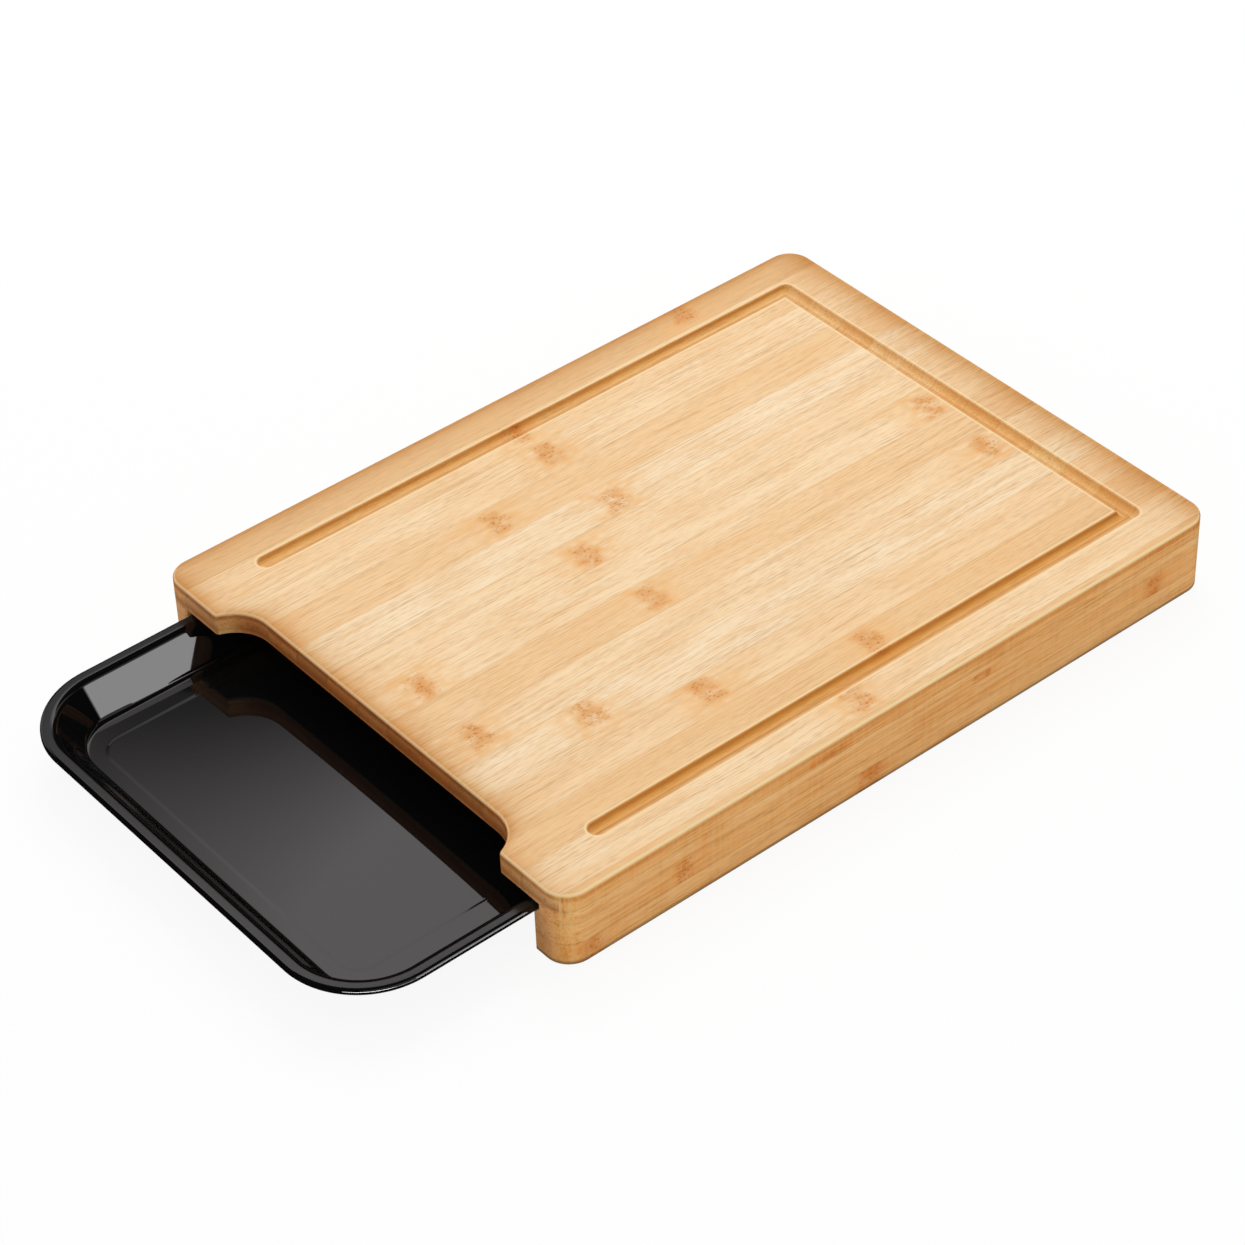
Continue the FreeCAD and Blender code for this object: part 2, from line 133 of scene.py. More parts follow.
class Wire:
    """A node's output that takes part in Python sums; every operator adds one Math node."""

    def __init__(self, graph: "Graph", socket: Optional[bpy.types.NodeSocket]) -> None:
        """Keeps the socket and the graph that it belongs to."""
        self.graph = graph
        self.socket = socket

    def _maths(self, operation: str, *terms: "Value") -> "Wire":
        """One Math node with these terms."""
        return self.graph.add("ShaderNodeMath", {"operation": operation}, dict(enumerate(terms)))

    def __add__(self, other: "Value") -> "Wire":
        """The sum."""
        return self._maths("ADD", self, other)

    def __radd__(self, other: "Value") -> "Wire":
        """The sum, with a plain number first."""
        return self._maths("ADD", other, self)

    def __sub__(self, other: "Value") -> "Wire":
        """The difference."""
        return self._maths("SUBTRACT", self, other)

    def __rsub__(self, other: "Value") -> "Wire":
        """The difference, with a plain number first."""
        return self._maths("SUBTRACT", other, self)

    def __mul__(self, other: "Value") -> "Wire":
        """The product."""
        return self._maths("MULTIPLY", self, other)

    def __rmul__(self, other: "Value") -> "Wire":
        """The product, with a plain number first."""
        return self._maths("MULTIPLY", other, self)

    def __truediv__(self, other: "Value") -> "Wire":
        """The quotient."""
        return self._maths("DIVIDE", self, other)

    def __rtruediv__(self, other: "Value") -> "Wire":
        """The quotient, with a plain number first."""
        return self._maths("DIVIDE", other, self)

    def __pow__(self, other: "Value") -> "Wire":
        """The power."""
        return self._maths("POWER", self, other)

    def __neg__(self) -> "Wire":
        """The value with its sign turned."""
        return self._maths("MULTIPLY", self, -1.0)

    def __abs__(self) -> "Wire":
        """The value without its sign."""
        return self._maths("ABSOLUTE", self)

    def least(self, other: "Value") -> "Wire":
        """The smaller of two values."""
        return self._maths("MINIMUM", self, other)

    def most(self, other: "Value") -> "Wire":
        """The larger of two values."""
        return self._maths("MAXIMUM", self, other)

    def rise(self, low: float, high: float) -> "Wire":
        """A smooth step.

        Args:
            low: Where it is 0; it may be the larger of the two.
            high: Where it is 1.

        Returns:
            The step.
        """
        if low > high:
            return 1 - self.rise(high, low)
        settings = {"interpolation_type": "SMOOTHSTEP"}
        return self.graph.add("ShaderNodeMapRange", settings, {0: self, 1: low, 2: high})

    def within(self, low: float, high: float) -> "Wire":
        """The value, held between low and high."""
        return self.most(low).least(high)

    def exp(self) -> "Wire":
        """The exponential."""
        return self._maths("EXPONENT", self)

    def bell(self, width: "Value") -> "Wire":
        """A hump of height 1 about zero that falls to 1/e at width."""
        scaled = self / width
        return (-(scaled * scaled)).exp()


Value = Union[Wire, float]


class Graph:
    """The node tree of one material or world."""

    def __init__(self, owner: Union[bpy.types.Material, bpy.types.World]) -> None:
        """Empties the owner's tree, to start it again.

        Args:
            owner: The material or world.
        """
        owner.use_nodes = True
        self.tree = owner.node_tree
        self.tree.nodes.clear()

    def add(
        self, kind: str, settings: dict[str, Any], values: dict[Any, Any], out: Union[int, str] = 0
    ) -> Wire:
        """Adds any node.

        Args:
            kind: The node's type.
            settings: Its own settings, which are set before its sockets.
            values: What goes into its sockets, by number or name: wires or plain values.
            out: The output that is wanted.

        Returns:
            That output, or an empty wire from a node that has none.
        """
        node = self.tree.nodes.new(kind)
        for name, setting in settings.items():
            setattr(node, name, setting)
        for key, value in values.items():
            if isinstance(value, Wire):
                self.tree.links.new(value.socket, node.inputs[key])
            else:
                node.inputs[key].default_value = value
        return Wire(self, node.outputs[out] if node.outputs else None)

    def point(self, x: Value, y: Value, z: Value) -> Wire:
        """Three values as one vector."""
        return self.add("ShaderNodeCombineXYZ", {}, {0: x, 1: y, 2: z})

    def split(self, vector: Wire) -> tuple[Wire, Wire, Wire]:
        """A vector's three values."""
        parts = self.add("ShaderNodeSeparateXYZ", {}, {0: vector})
        return tuple(Wire(self, socket) for socket in parts.socket.node.outputs)

    def cloud(self, x: Value, y: Value, z: Value, detail: float = 2.0) -> Wire:
        """Soft noise about 0, mostly within -1 to 1.

        Args:
            x: The first coordinate, in steps of the noise.
            y: The second coordinate.
            z: The third coordinate.
            detail: How many finer layers it has.

        Returns:
            The noise.
        """
        values = {"Vector": self.point(x, y, z), "Scale": 1.0, "Detail": detail, "Roughness": 0.55}
        return (self.add("ShaderNodeTexNoise", {}, values) - NOISE_MIDDLE) * NOISE_SPREAD

    def mix(self, share: Value, first: Any, second: Any, blend: str = "MIX") -> Wire:
        """Two colours mixed; share is how much of the second is laid over the first."""
        settings = {"data_type": "RGBA", "blend_type": blend}
        return self.add("ShaderNodeMix", settings, {0: share, 6: first, 7: second}, 2)

    def finish(self, shader: Wire, kind: str = "ShaderNodeOutputMaterial") -> None:
        """Puts a shader on the tree's output."""
        self.add(kind, {}, {"Surface": shader})


# Bamboo


class Tone(Enum):
    """How a strip of bamboo is coloured, from the palest to the one steamed longest."""

    PALE = paint(255, 231, 194)
    STRAW = paint(254, 224, 182)
    HONEY = paint(252, 218, 173)
    GOLD = paint(250, 212, 164)
    AMBER = paint(247, 206, 154)
    TOASTED = paint(238, 196, 144)


class Run(Enum):
    """Which way a strip's fibres run."""

    LENGTHWISE = "along the board"
    CROSSWISE = "across the board"


@dataclass(frozen=True)
class Routing:
    """The board's shape as its finish follows it, in millimetres from the middle of the board."""

    half_width: float = 142.5
    half_length: float = 190.0
    top: float = 40.0
    # The scraping recess: half its straight wall, then the round that leads out to the front,
    # with the line that the round is centred on, and the edges of the cut wall
    recess_flat: float = 82.0
    recess_round: float = 20.0
    recess_round_reach: float = 19.1
    recess_centre: float = -196.0
    recess_side: float = 100.0
    recess_mouth: float = -189.5
    # The juice groove: the middle line of its cut, and the box that holds it
    groove_span: float = 117.0
    groove_rear: float = 163.3
    groove_front: float = -150.3
    groove_box_side: float = 125.0
    groove_box_rear: float = 172.0
    groove_box_front: float = -158.5
    groove_box_depth: float = 4.2
    # How high the dark lines run round the sides: a painted shade line under the top's round, then
    # glue lines between the layers
    shade_line_under_round: float = 37.3
    layer_lines: tuple[float, ...] = (31.0, 23.5, 11.8)
    under_ply: float = 31.5
    # Where the upright corners start to turn
    corner_start: float = 129.0

    def from_front(self, x: Wire, y: Wire) -> Wire:
        """How far behind the board's front edge, with its recess, a place lies."""
        past_flat = (abs(x) - self.recess_flat).within(0.0, self.recess_round_reach)
        return y - self.recess_centre - (self.recess_round**2 - past_flat * past_flat) ** 0.5

    def from_groove(self, x: Wire, y: Wire) -> Wire:
        """How far from the middle line of the juice groove a place lies.

        Args:
            x: How far across the board it is.
            y: How far along the board it is.

        Returns:
            The distance in millimetres.
        """
        out, back = abs(x) - self.groove_span, y - self.groove_rear
        past = back.most(self.groove_front - y).most(0.0)
        beside, behind = out * out + past * past, back * back + out.most(0.0) ** 2.0
        return beside.least(behind) ** 0.5

    def depth_in_groove(self, x: Wire, y: Wire, z: Wire) -> Wire:
        """How far below the top a place in the juice groove lies, and 0 outside the groove.

        Args:
            x: How far across the board it is.
            y: How far along the board it is.
            z: How high it is.

        Returns:
            The depth in millimetres.
        """
        side, front, rear = self.groove_box_side, self.groove_box_front, self.groove_box_rear
        beside = abs(x).rise(side, side - 1.0)
        inside = beside * y.rise(front, front + 1.0) * y.rise(rear, rear - 1.0)
        return (self.top - z).within(0.0, self.groove_box_depth) * inside


@dataclass(frozen=True)
class Spot:
    """A place on the bamboo, ready for its finish: millimetres from the middle of the board."""

    x: Wire
    y: Wire
    z: Wire
    facing_x: Wire
    facing_y: Wire
    facing_z: Wire
    along: Wire
    across: Wire


@dataclass(frozen=True)
class Grain:
    """The fibres at a place, each layer about 0, from the pores to broad patches of tone."""

    pore: Wire
    hair: Wire
    thread: Wire
    band: Wire
    patch: Wire


@dataclass(frozen=True)
class BambooFinish:
    """Oiled bamboo: fibres, knuckles, a top darker towards its front, rear and left edges, and
    darker sides, ends and groove, partly painted shade; painted highlights on the lips and a
    painted contact shadow along the foot.

    A colour with paint() is laid over what is under it. The rest multiply it.
    """

    name: str
    tone: Tone
    seed: float
    middle_mm: float
    half_width_mm: float
    knuckles_mm: tuple[float, ...]
    run: Run = Run.LENGTHWISE
    # Each layer of fibres, from the pores to the patches: its width and length in millimetres,
    # how many seeds it is moved by, and how many finer layers it has
    layers: tuple[tuple[float, float, float, float], ...] = (
        (0.55, 5.0, 1.0, 0.0),
        (0.42, 34.0, 1.0, 1.0),
        (0.95, 90.0, 2.0, 1.0),
        (3.4, 190.0, 3.0, 1.0),
        (8.0, 38.0, 4.0, 2.0),
    )
    warm: Colour = paint(244, 192, 130)
    fibre: Colour = paint(215, 170, 120)
    knuckle: Colour = (0.84, 0.62, 0.41, 1.0)
    pore_dot: Colour = (0.74, 0.52, 0.32, 1.0)
    vein: Colour = (0.86, 0.66, 0.34, 1.0)
    # Darkens the top towards its front, rear and left edges
    edge_dark_tint: Colour = (0.66, 0.40, 0.12, 1.0)
    # Sides and cut ends are darker: partly the bamboo's own colour, partly painted shade for faces
    # turned from the light
    side: Colour = (1.0, 0.775, 0.52, 1.0)
    end_grain: Colour = (0.90, 0.65, 0.44, 1.0)
    # Darker on the cut wall of the recess
    recess_wall_dark: Colour = (0.77, 0.58, 0.42, 1.0)
    under_ply: Colour = (0.76, 0.65, 0.58, 1.0)
    # The groove's own deeper tone; how much of it is laid depends on which way a wall faces, as
    # painted shade
    groove: Colour = (0.93, 0.62, 0.03, 1.0)
    glue_and_shade: Colour = (0.80, 0.75, 0.70, 1.0)
    # Painted contact shadow along the foot of the sides
    painted_contact_shadow: Colour = (0.46, 0.50, 0.58, 1.0)
    # Darkens the tops of the groove's walls and its floor: partly cutter burn, partly painted shade
    burn_and_shade: Colour = (0.76, 0.66, 0.56, 1.0)
    # Painted highlight, with some paler wear, on the lips of the top and the groove
    lip_highlight_and_wear: Colour = paint(255, 225, 174)
    corner: Colour = paint(236, 196, 130)
    corner_tint: Colour = (1.0, 0.98, 0.74, 1.0)
    roughness: float = 0.46
    hair_roughness: float = 0.05
    rubbed_polish: float = 0.14
    ior: float = 1.45
    specular: float = 0.3
    relief_mm: float = 0.04
    relief_strength: float = 0.3
    routing: Routing = Routing()

    def spot(self, graph: Graph) -> Spot:
        """Reads the place and the way that the surface faces there.

        Args:
            graph: The material's tree.

        Returns:
            The place.
        """
        where = graph.add("ShaderNodeTexCoord", {}, {}, "Object")
        x, y, z = (part / MM for part in graph.split(where))
        y = y - BOARD_MIDDLE_Y / MM
        facing = graph.split(graph.add("ShaderNodeNewGeometry", {}, {}, "Normal"))
        along, across = (y, x) if self.run is Run.LENGTHWISE else (x, y)
        return Spot(x, y, z, *facing, along, across - self.middle_mm)

    def grain(self, graph: Graph, spot: Spot) -> Grain:
        """The fibres, which sway a little and run on through the thickness of the strip.

        Args:
            graph: The material's tree.
            spot: The place.

        Returns:
            The layers of fibres.
        """
        seed, along, z = self.seed, spot.along, spot.z
        sway = graph.cloud(spot.across / 18, along / 70, z / 18 + seed, 0.0) * 1.2
        side = spot.across + sway
        layers = (
            graph.cloud(side / width, along / length, z / width + seed * moved, detail)
            for width, length, moved, detail in self.layers
        )
        return Grain(*layers)

    def knuckled(self, graph: Graph, spot: Spot, colour: Wire) -> Wire:
        """Lays the knuckles of the cane over a colour.

        Args:
            graph: The material's tree.
            spot: The place.
            colour: The colour without them.

        Returns:
            The colour with them.
        """
        ragged = graph.cloud(spot.across / 3.5, spot.along / 14, self.seed + 5.0, 2.0) * 3.4
        bow = (spot.across / self.half_width_mm) ** 2 * 1.8
        bent = spot.along + ragged + bow
        gap = reduce(Wire.least, (abs(bent - at) for at in self.knuckles_mm))
        blotch = graph.cloud(spot.across / 5, spot.along / 7, spot.z / 5 + self.seed, 1.0)
        halo = gap.rise(26.0, 2.0) * (blotch * 0.7 + 0.6)
        colour = graph.mix(halo.within(0.0, 0.8), colour, self.warm)
        breadth = abs(spot.across + math.sin(self.seed * 7.0) * 2.5)
        breadth = (breadth / self.half_width_mm).rise(0.95, 0.5)
        core = gap.rise(9.0, 1.0) * (blotch * 0.4 + 0.55) * breadth
        colour = graph.mix(core.within(0.0, 1.0), colour, self.knuckle, "MULTIPLY")
        cells = graph.point(spot.across / 1.3, spot.along / 2.2, spot.z / 1.3 + self.seed)
        dot = graph.add("ShaderNodeTexVoronoi", {}, {"Vector": cells, "Scale": 1.0}, "Distance")
        kept = graph.cloud(spot.across / 1.7, spot.along / 3.0, self.seed, 0.0).rise(-0.7, 0.2)
        dots = dot.rise(0.55, 0.2) * gap.rise(7.5, 2.5) * kept * breadth * 0.8
        return graph.mix(dots, colour, self.pore_dot, "MULTIPLY")

    def edge_dark_share(self, spot: Spot) -> Wire:
        """How much darker the top is towards its front, rear and left edges, 0 to 1.

        Args:
            spot: The place.

        Returns:
            The share of the darker edge tint.
        """
        fade_front, fade_rear, fade_left = 6.8, 12.0, 5.0
        behind = self.routing.from_front(spot.x, spot.y) / fade_front
        behind = behind + spot.x.rise(92.0, 108.0) * 0.5
        from_rear = (self.routing.half_length - spot.y) / fade_rear
        from_left = (spot.x + self.routing.half_width) / fade_left
        inward = behind.least(from_rear).least(from_left).most(0.25)
        return (-inward).exp() * spot.z.rise(36.0, 39.0)

    def colour(self, graph: Graph, spot: Spot, grain: Grain) -> Wire:
        """The colour all over the strip.

        Args:
            graph: The material's tree.
            spot: The place.
            grain: The fibres.

        Returns:
            The colour.
        """
        colour = self.knuckled(graph, spot, self.fibred(graph, grain))
        # The top darkens towards its front, rear and left edges
        edge_dark_share = self.edge_dark_share(spot)
        colour = graph.mix(edge_dark_share, colour, self.edge_dark_tint, "MULTIPLY")
        depth = self.routing.depth_in_groove(spot.x, spot.y, spot.z)
        colour = self.grooved(graph, spot, depth, colour)
        upright = abs(spot.facing_z).rise(0.8, 0.4) * (1 - depth.rise(0.1, 0.3))
        cut = abs(spot.facing_y).rise(0.45, 0.95) * upright
        colour = self.sided(graph, spot, grain, upright, cut, colour)
        colour = self.lined(graph, spot, upright, cut, colour)
        # Painted highlight, with some paler wear, on the lips
        colour = graph.mix(self.rounded(spot) * (1 - edge_dark_share * 0.7), colour, self.lip_highlight_and_wear)
        colour = self.cornered(graph, spot, upright, colour)
        # Painted contact shadow along the foot of the sides, where they meet the floor
        painted_contact_shadow = spot.z.rise(2.9, 1.3) * spot.facing_z.rise(-0.98, -0.8)
        return graph.mix(painted_contact_shadow, colour, self.painted_contact_shadow, "MULTIPLY")

    def fibred(self, graph: Graph, grain: Grain) -> Wire:
        """The strip's own tone, in warmer and paler patches, with its fibres drawn along it.

        Args:
            graph: The material's tree.
            grain: The fibres.

        Returns:
            The colour.
        """
        warmth = grain.patch * 0.4 + grain.band * 0.15 + 0.2
        colour = graph.mix(warmth.within(0.0, 0.9), self.tone.value, self.warm)
        streak = grain.thread * 0.31 + grain.hair * 0.52 + grain.band * 0.08 + grain.pore * 0.28
        streak = streak + grain.thread.rise(0.25, 1.2) * 0.08 + 0.14
        return graph.mix(streak.within(0.0, 0.9), colour, self.fibre)

    def grooved(self, graph: Graph, spot: Spot, depth: Wire, colour: Wire) -> Wire:
        """Deepens the juice groove's tone, with painted shade on the walls that face right and to
        the front, and darkens the tops of its walls and its floor, partly cutter burn and partly
        painted shade.

        Args:
            graph: The material's tree.
            spot: The place.
            depth: How deep in the groove it lies.
            colour: The colour without the groove.

        Returns:
            The colour with it.
        """
        # Painted shade: walls that face right and to the front take more of the groove's deeper
        # tone
        shaded = spot.facing_x * 0.4 - spot.facing_y * 0.16 + 0.4 - spot.x.rise(0.0, -20.0) * 0.08
        shaded = depth.rise(0.0, 0.6) * shaded.most(0.0)
        colour = graph.mix(shaded, colour, self.groove, "MULTIPLY")
        # A darker ring at the tops of the walls, and the floor: partly cutter burn, partly painted
        # shade
        dark_ring_at, dark_ring_width = 3.9, 0.9
        wall = (self.routing.from_groove(spot.x, spot.y) - dark_ring_at).bell(dark_ring_width)
        wall = wall * depth.rise(0.0, 0.3) * spot.facing_y.rise(-0.8, -0.2)
        floor = spot.facing_z.rise(0.95, 0.995) * depth.rise(1.5, 2.5) * 0.7
        return graph.mix(wall.most(floor), colour, self.burn_and_shade, "MULTIPLY")

    def sided(
        self, graph: Graph, spot: Spot, grain: Grain, upright: Wire, cut: Wire, colour: Wire
    ) -> Wire:
        """Darkens the sides and the cut ends, partly their own colour and partly painted shade,
        with veins, and darkens the cut wall of the recess further.

        Args:
            graph: The material's tree.
            spot: The place.
            grain: The fibres.
            upright: 1 where the surface stands upright.
            cut: 1 where it stands upright across the fibres.
            colour: The colour of a top face.

        Returns:
            The colour on every side.
        """
        # Upright faces darker than the top: partly their own colour, partly painted shade
        colour = graph.mix(upright, colour, graph.mix(cut, self.side, self.end_grain), "MULTIPLY")
        vein = (grain.band * 0.6 + grain.patch * 0.2 + grain.thread * 0.3).rise(-0.05, 0.9)
        colour = graph.mix(vein * upright, colour, self.vein, "MULTIPLY")
        shape = self.routing
        under = (spot.z - shape.under_ply).bell(2.5) * cut
        colour = graph.mix(under, colour, self.under_ply, "MULTIPLY")
        # The cut wall of the recess is darker still
        recess_wall_dark = cut * abs(spot.x).rise(shape.recess_side + 1.0, shape.recess_side - 1.0)
        recess_wall_dark = recess_wall_dark * spot.y.rise(shape.recess_mouth, shape.recess_mouth + 1.5)
        return graph.mix(recess_wall_dark * spot.y.rise(0.0, -1.0), colour, self.recess_wall_dark, "MULTIPLY")

    def lined(self, graph: Graph, spot: Spot, upright: Wire, cut: Wire, colour: Wire) -> Wire:
        """Draws the glue lines, level ones round the sides and the seams between strips, and a
        painted shade line round the sides under the top's rounded edge.

        Args:
            graph: The material's tree.
            spot: The place.
            upright: 1 where the surface stands upright.
            cut: 1 where it stands upright across the fibres.
            colour: The colour without them.

        Returns:
            The colour with them.
        """
        # A painted shade line under the top's rounded edge, then glue lines between the layers
        lines = (spot.z - self.routing.shade_line_under_round).bell(0.8) * 0.8
        for height in self.routing.layer_lines:
            lines = lines.most((spot.z - height).bell(0.5) * 0.7)
        colour = graph.mix(lines * upright, colour, self.glue_and_shade, "MULTIPLY")
        seam = (abs(spot.across) - self.half_width_mm).rise(-0.5, -0.1)
        return graph.mix(seam * (cut * 0.6 + 0.35), colour, self.glue_and_shade, "MULTIPLY")

    def cornered(self, graph: Graph, spot: Spot, upright: Wire, colour: Wire) -> Wire:
        """Yellows the upright corners and draws the pale streaks of sanding down them.

        Args:
            graph: The material's tree.
            spot: The place.
            upright: 1 where the surface stands upright.
            colour: The colour without them.

        Returns:
            The colour with them.
        """
        start = self.routing.corner_start
        turned = (abs(spot.facing_x) - 0.66).bell(0.32) * abs(spot.x).rise(start, start + 3.0)
        turned = turned * upright
        colour = graph.mix(turned, colour, self.corner_tint, "MULTIPLY")
        streak = graph.cloud(spot.x / 1.8, spot.y / 1.8, spot.z / 20, 2.0)
        colour = graph.mix(turned * streak.rise(0.0, -1.0) * 0.6, colour, self.vein, "MULTIPLY")
        return graph.mix(turned * streak.rise(-0.2, 0.8) * 0.8, colour, self.corner)

    def rounded(self, spot: Spot) -> Wire:
        """1 on the lips of the top that do not face left or to the rear, and on the groove's lips:
        a painted highlight, with some paler wear.

        Args:
            spot: The place.

        Returns:
            The share of the painted highlight colour.
        """
        groove = self.routing.from_groove(spot.x, spot.y)
        not_facing_left_or_rear = spot.facing_x.rise(-0.6, -0.2) * spot.facing_y.rise(0.6, 0.2)
        turned = spot.facing_z.rise(0.05, 0.5) * spot.facing_z.rise(0.998, 0.9)
        turned = turned * spot.z.rise(38.2, 38.6) * groove.rise(4.6, 5.0) * not_facing_left_or_rear
        lip_at, lip_width = 5.2, 0.5
        groove_lip_highlight = (groove - lip_at).bell(lip_width) * spot.z.rise(39.0, 39.6)
        return turned.most(groove_lip_highlight * 0.8)

    def material(self) -> bpy.types.Material:
        """Makes the material.

        Returns:
            The material, named for the strip.
        """
        made = bpy.data.materials.new(self.name)
        graph = Graph(made)
        spot = self.spot(graph)
        grain = self.grain(graph, spot)
        relief = {
            "Height": grain.hair + grain.thread,
            "Strength": self.relief_strength,
            "Distance": self.relief_mm * MM,
        }
        roughness = grain.hair * self.hair_roughness + self.roughness
        values = {
            "Base Color": self.colour(graph, spot, grain),
            "Roughness": roughness - self.rounded(spot) * self.rubbed_polish,
            "IOR": self.ior,
            "Specular IOR Level": self.specular,
            "Normal": graph.add("ShaderNodeBump", {}, relief),
        }
        graph.finish(graph.add("ShaderNodeBsdfPrincipled", {}, values))
        return made


@dataclass(frozen=True)
class Slat:
    """One slat of the plate's top ply: its colour, and where its knuckles lie along the board."""

    tone: Tone
    knuckles_mm: tuple[float, ...]


@dataclass(frozen=True)
class Ply:
    """One ply of the plate.

    Its slats take the looks of the top ply's from first_look on, with the figure of another
    place in the cane, and its seams stand shift_mm to the right of the top ply's.
    """

    label: str
    first_look: int
    place: int
    shift_mm: float
    side: Colour


@dataclass(frozen=True)
class Board:
    """The bamboo board: three plies of slats on three rails, each with a ledge for the tray."""

    slat_width_mm: float = 21.88
    first_seam_mm: float = 124.0
    plies: tuple[Ply, ...] = (
        Ply("top", first_look=0, place=0, shift_mm=0.0, side=(0.97, 0.70, 0.41, 1.0)),
        Ply("middle", first_look=6, place=5, shift_mm=-1.4, side=(0.97, 0.70, 0.41, 1.0)),
        Ply("lower", first_look=10, place=9, shift_mm=0.6, side=(1.0, 0.775, 0.52, 1.0)),
    )
    slats: tuple[Slat, ...] = (
        Slat(Tone.TOASTED, (112.0,)),
        Slat(Tone.HONEY, (-7.0,)),
        Slat(Tone.STRAW, (-5.0,)),
        Slat(Tone.GOLD, (-55.0,)),
        Slat(Tone.PALE, (-5.0,)),
        Slat(Tone.STRAW, (-40.0,)),
        Slat(Tone.STRAW, (-150.0, 150.0)),
        Slat(Tone.GOLD, (-37.0,)),
        Slat(Tone.STRAW, (-152.0, 150.0)),
        Slat(Tone.PALE, (-107.0,)),
        Slat(Tone.HONEY, (-60.0,)),
        Slat(Tone.AMBER, (15.0,)),
        Slat(Tone.STRAW, (-15.0,)),
        Slat(Tone.AMBER, (-145.0, 155.0)),
    )
    rail_knuckles_mm: tuple[tuple[str, tuple[float, ...]], ...] = (
        ("right_ledge_strip", (47.0,)),
        ("right_rail_upper", (-125.0, 155.0)),
        ("right_rail_lower", (-175.0, -18.0)),
        ("left_ledge_strip", (-96.0,)),
        ("left_rail_upper", (38.0,)),
        ("left_rail_lower", (-60.0, 132.0)),
        ("rear_ledge_strip", (66.0,)),
        ("rear_rail_upper", (-84.0,)),
        ("rear_rail_lower", (21.0,)),
    )

    def slat_finish(self, ply: Ply, number: int) -> BambooFinish:
        """The finish of one slat.

        Args:
            ply: The ply that it is in.
            number: Its number from the left, from 1.

        Returns:
            The finish.
        """
        slat = self.slats[(number - 1 + ply.first_look) % len(self.slats)]
        middle = -self.first_seam_mm + (number - 1.5) * self.slat_width_mm
        cut_shade = 0.94 + 0.1 * math.sin(number * 2.4 + ply.place)
        *ends, opaque = BambooFinish.end_grain
        return BambooFinish(
            name=f"bamboo_{ply.label}_slat_{number:02d}",
            tone=slat.tone,
            seed=number * 3.7 + ply.place * 11.3,
            middle_mm=middle + ply.shift_mm,
            half_width_mm=self.slat_width_mm / 2,
            knuckles_mm=slat.knuckles_mm,
            side=ply.side,
            end_grain=(*(part * cut_shade for part in ends), opaque),
        )

    def rail_finish(self, number: int, label: str, knuckles_mm: tuple[float, ...]) -> BambooFinish:
        """The finish of one layer of a rail.

        Args:
            number: Its place in the list of rails.
            label: The node's name.
            knuckles_mm: Where its knuckles lie.

        Returns:
            The finish.
        """
        return BambooFinish(
            name=f"bamboo_{label}",
            tone=Tone.STRAW if label.endswith("lower") else Tone.HONEY,
            seed=71.0 + number * 5.3,
            middle_mm=0.0,
            half_width_mm=UNSEAMED_MM,
            knuckles_mm=knuckles_mm,
            run=Run.CROSSWISE if label.startswith("rear") else Run.LENGTHWISE,
        )

    def dress(self, nodes: dict[str, bpy.types.Object]) -> None:
        """Gives every strip of bamboo its own finish.

        Args:
            nodes: The CAD nodes by name.
        """
        finishes = {
            f"{ply.label}_slat_{number:02d}": self.slat_finish(ply, number)
            for ply in self.plies
            for number in range(1, len(self.slats) + 1)
        }
        for number, (label, knuckles) in enumerate(self.rail_knuckles_mm):
            finishes[label] = self.rail_finish(number, label, knuckles)
        for label, finish in finishes.items():
            for place in nodes[label].material_slots:
                place.material = finish.material()
        log.info("board: %d strips of bamboo", len(finishes))


# The tray


@dataclass(frozen=True)
class GlossPlastic:
    """Black moulded plastic, polished in the tub and a little duller on top of the rim."""

    name: str = "tray_gloss_black"
    colour: Colour = (0.0035, 0.0035, 0.0038, 1.0)
    worn_colour: Colour = (0.007, 0.007, 0.0075, 1.0)
    rim_colour: Colour = (0.010, 0.010, 0.0105, 1.0)
    polished: float = 0.035
    dull: float = 0.24
    wear_size: float = 0.004
    wear_dulling: float = 0.006
    ior: float = 1.42
    rim_top: float = 0.0259
    # The moulding's slow waves, and the floor's very slight crown
    wave_width: float = 0.035
    wave_length: float = 0.05
    wave_height: float = 0.000006
    floor_below: float = 0.0112
    floor_from: float = 0.0098
    crown_width: float = 0.09
    crown_start: float = -0.176
    crown_tilt: float = 0.019

    def material(self) -> bpy.types.Material:
        """Makes the material.

        Returns:
            The material.
        """
        made = bpy.data.materials.new(self.name)
        graph = Graph(made)
        where = graph.add("ShaderNodeTexCoord", {}, {}, "Object")
        x, y, z = graph.split(where)
        facing = graph.split(graph.add("ShaderNodeNewGeometry", {}, {}, "Normal"))[2]
        rim = z.rise(self.rim_top - 0.4 * MM, self.rim_top - 0.1 * MM) * facing.rise(0.975, 0.998)
        wave = graph.cloud(x / self.wave_width, y / self.wave_length, z / self.wave_length, 1.0)
        middle = 1 - (x / self.crown_width) * (x / self.crown_width)
        crown = middle * (y - self.crown_start) * self.crown_tilt
        crown = crown * z.rise(self.floor_below, self.floor_from)
        wear = graph.cloud(x / self.wear_size, y / self.wear_size, z / self.wear_size, 3.0)
        relief = {"Height": wave * self.wave_height + crown, "Strength": 1.0, "Distance": 1.0}
        colour = graph.mix(wear.rise(0.4, 2.4) * 0.5, self.colour, self.worn_colour)
        roughness = wear * self.wear_dulling + self.polished
        values = {
            "Base Color": graph.mix(rim, colour, self.rim_colour),
            "Roughness": rim * (self.dull - self.polished) + roughness,
            "IOR": self.ior,
            "Normal": graph.add("ShaderNodeBump", {}, relief),
        }
        graph.finish(graph.add("ShaderNodeBsdfPrincipled", {}, values))
        return made


Section = Sequence[tuple[float, float]]


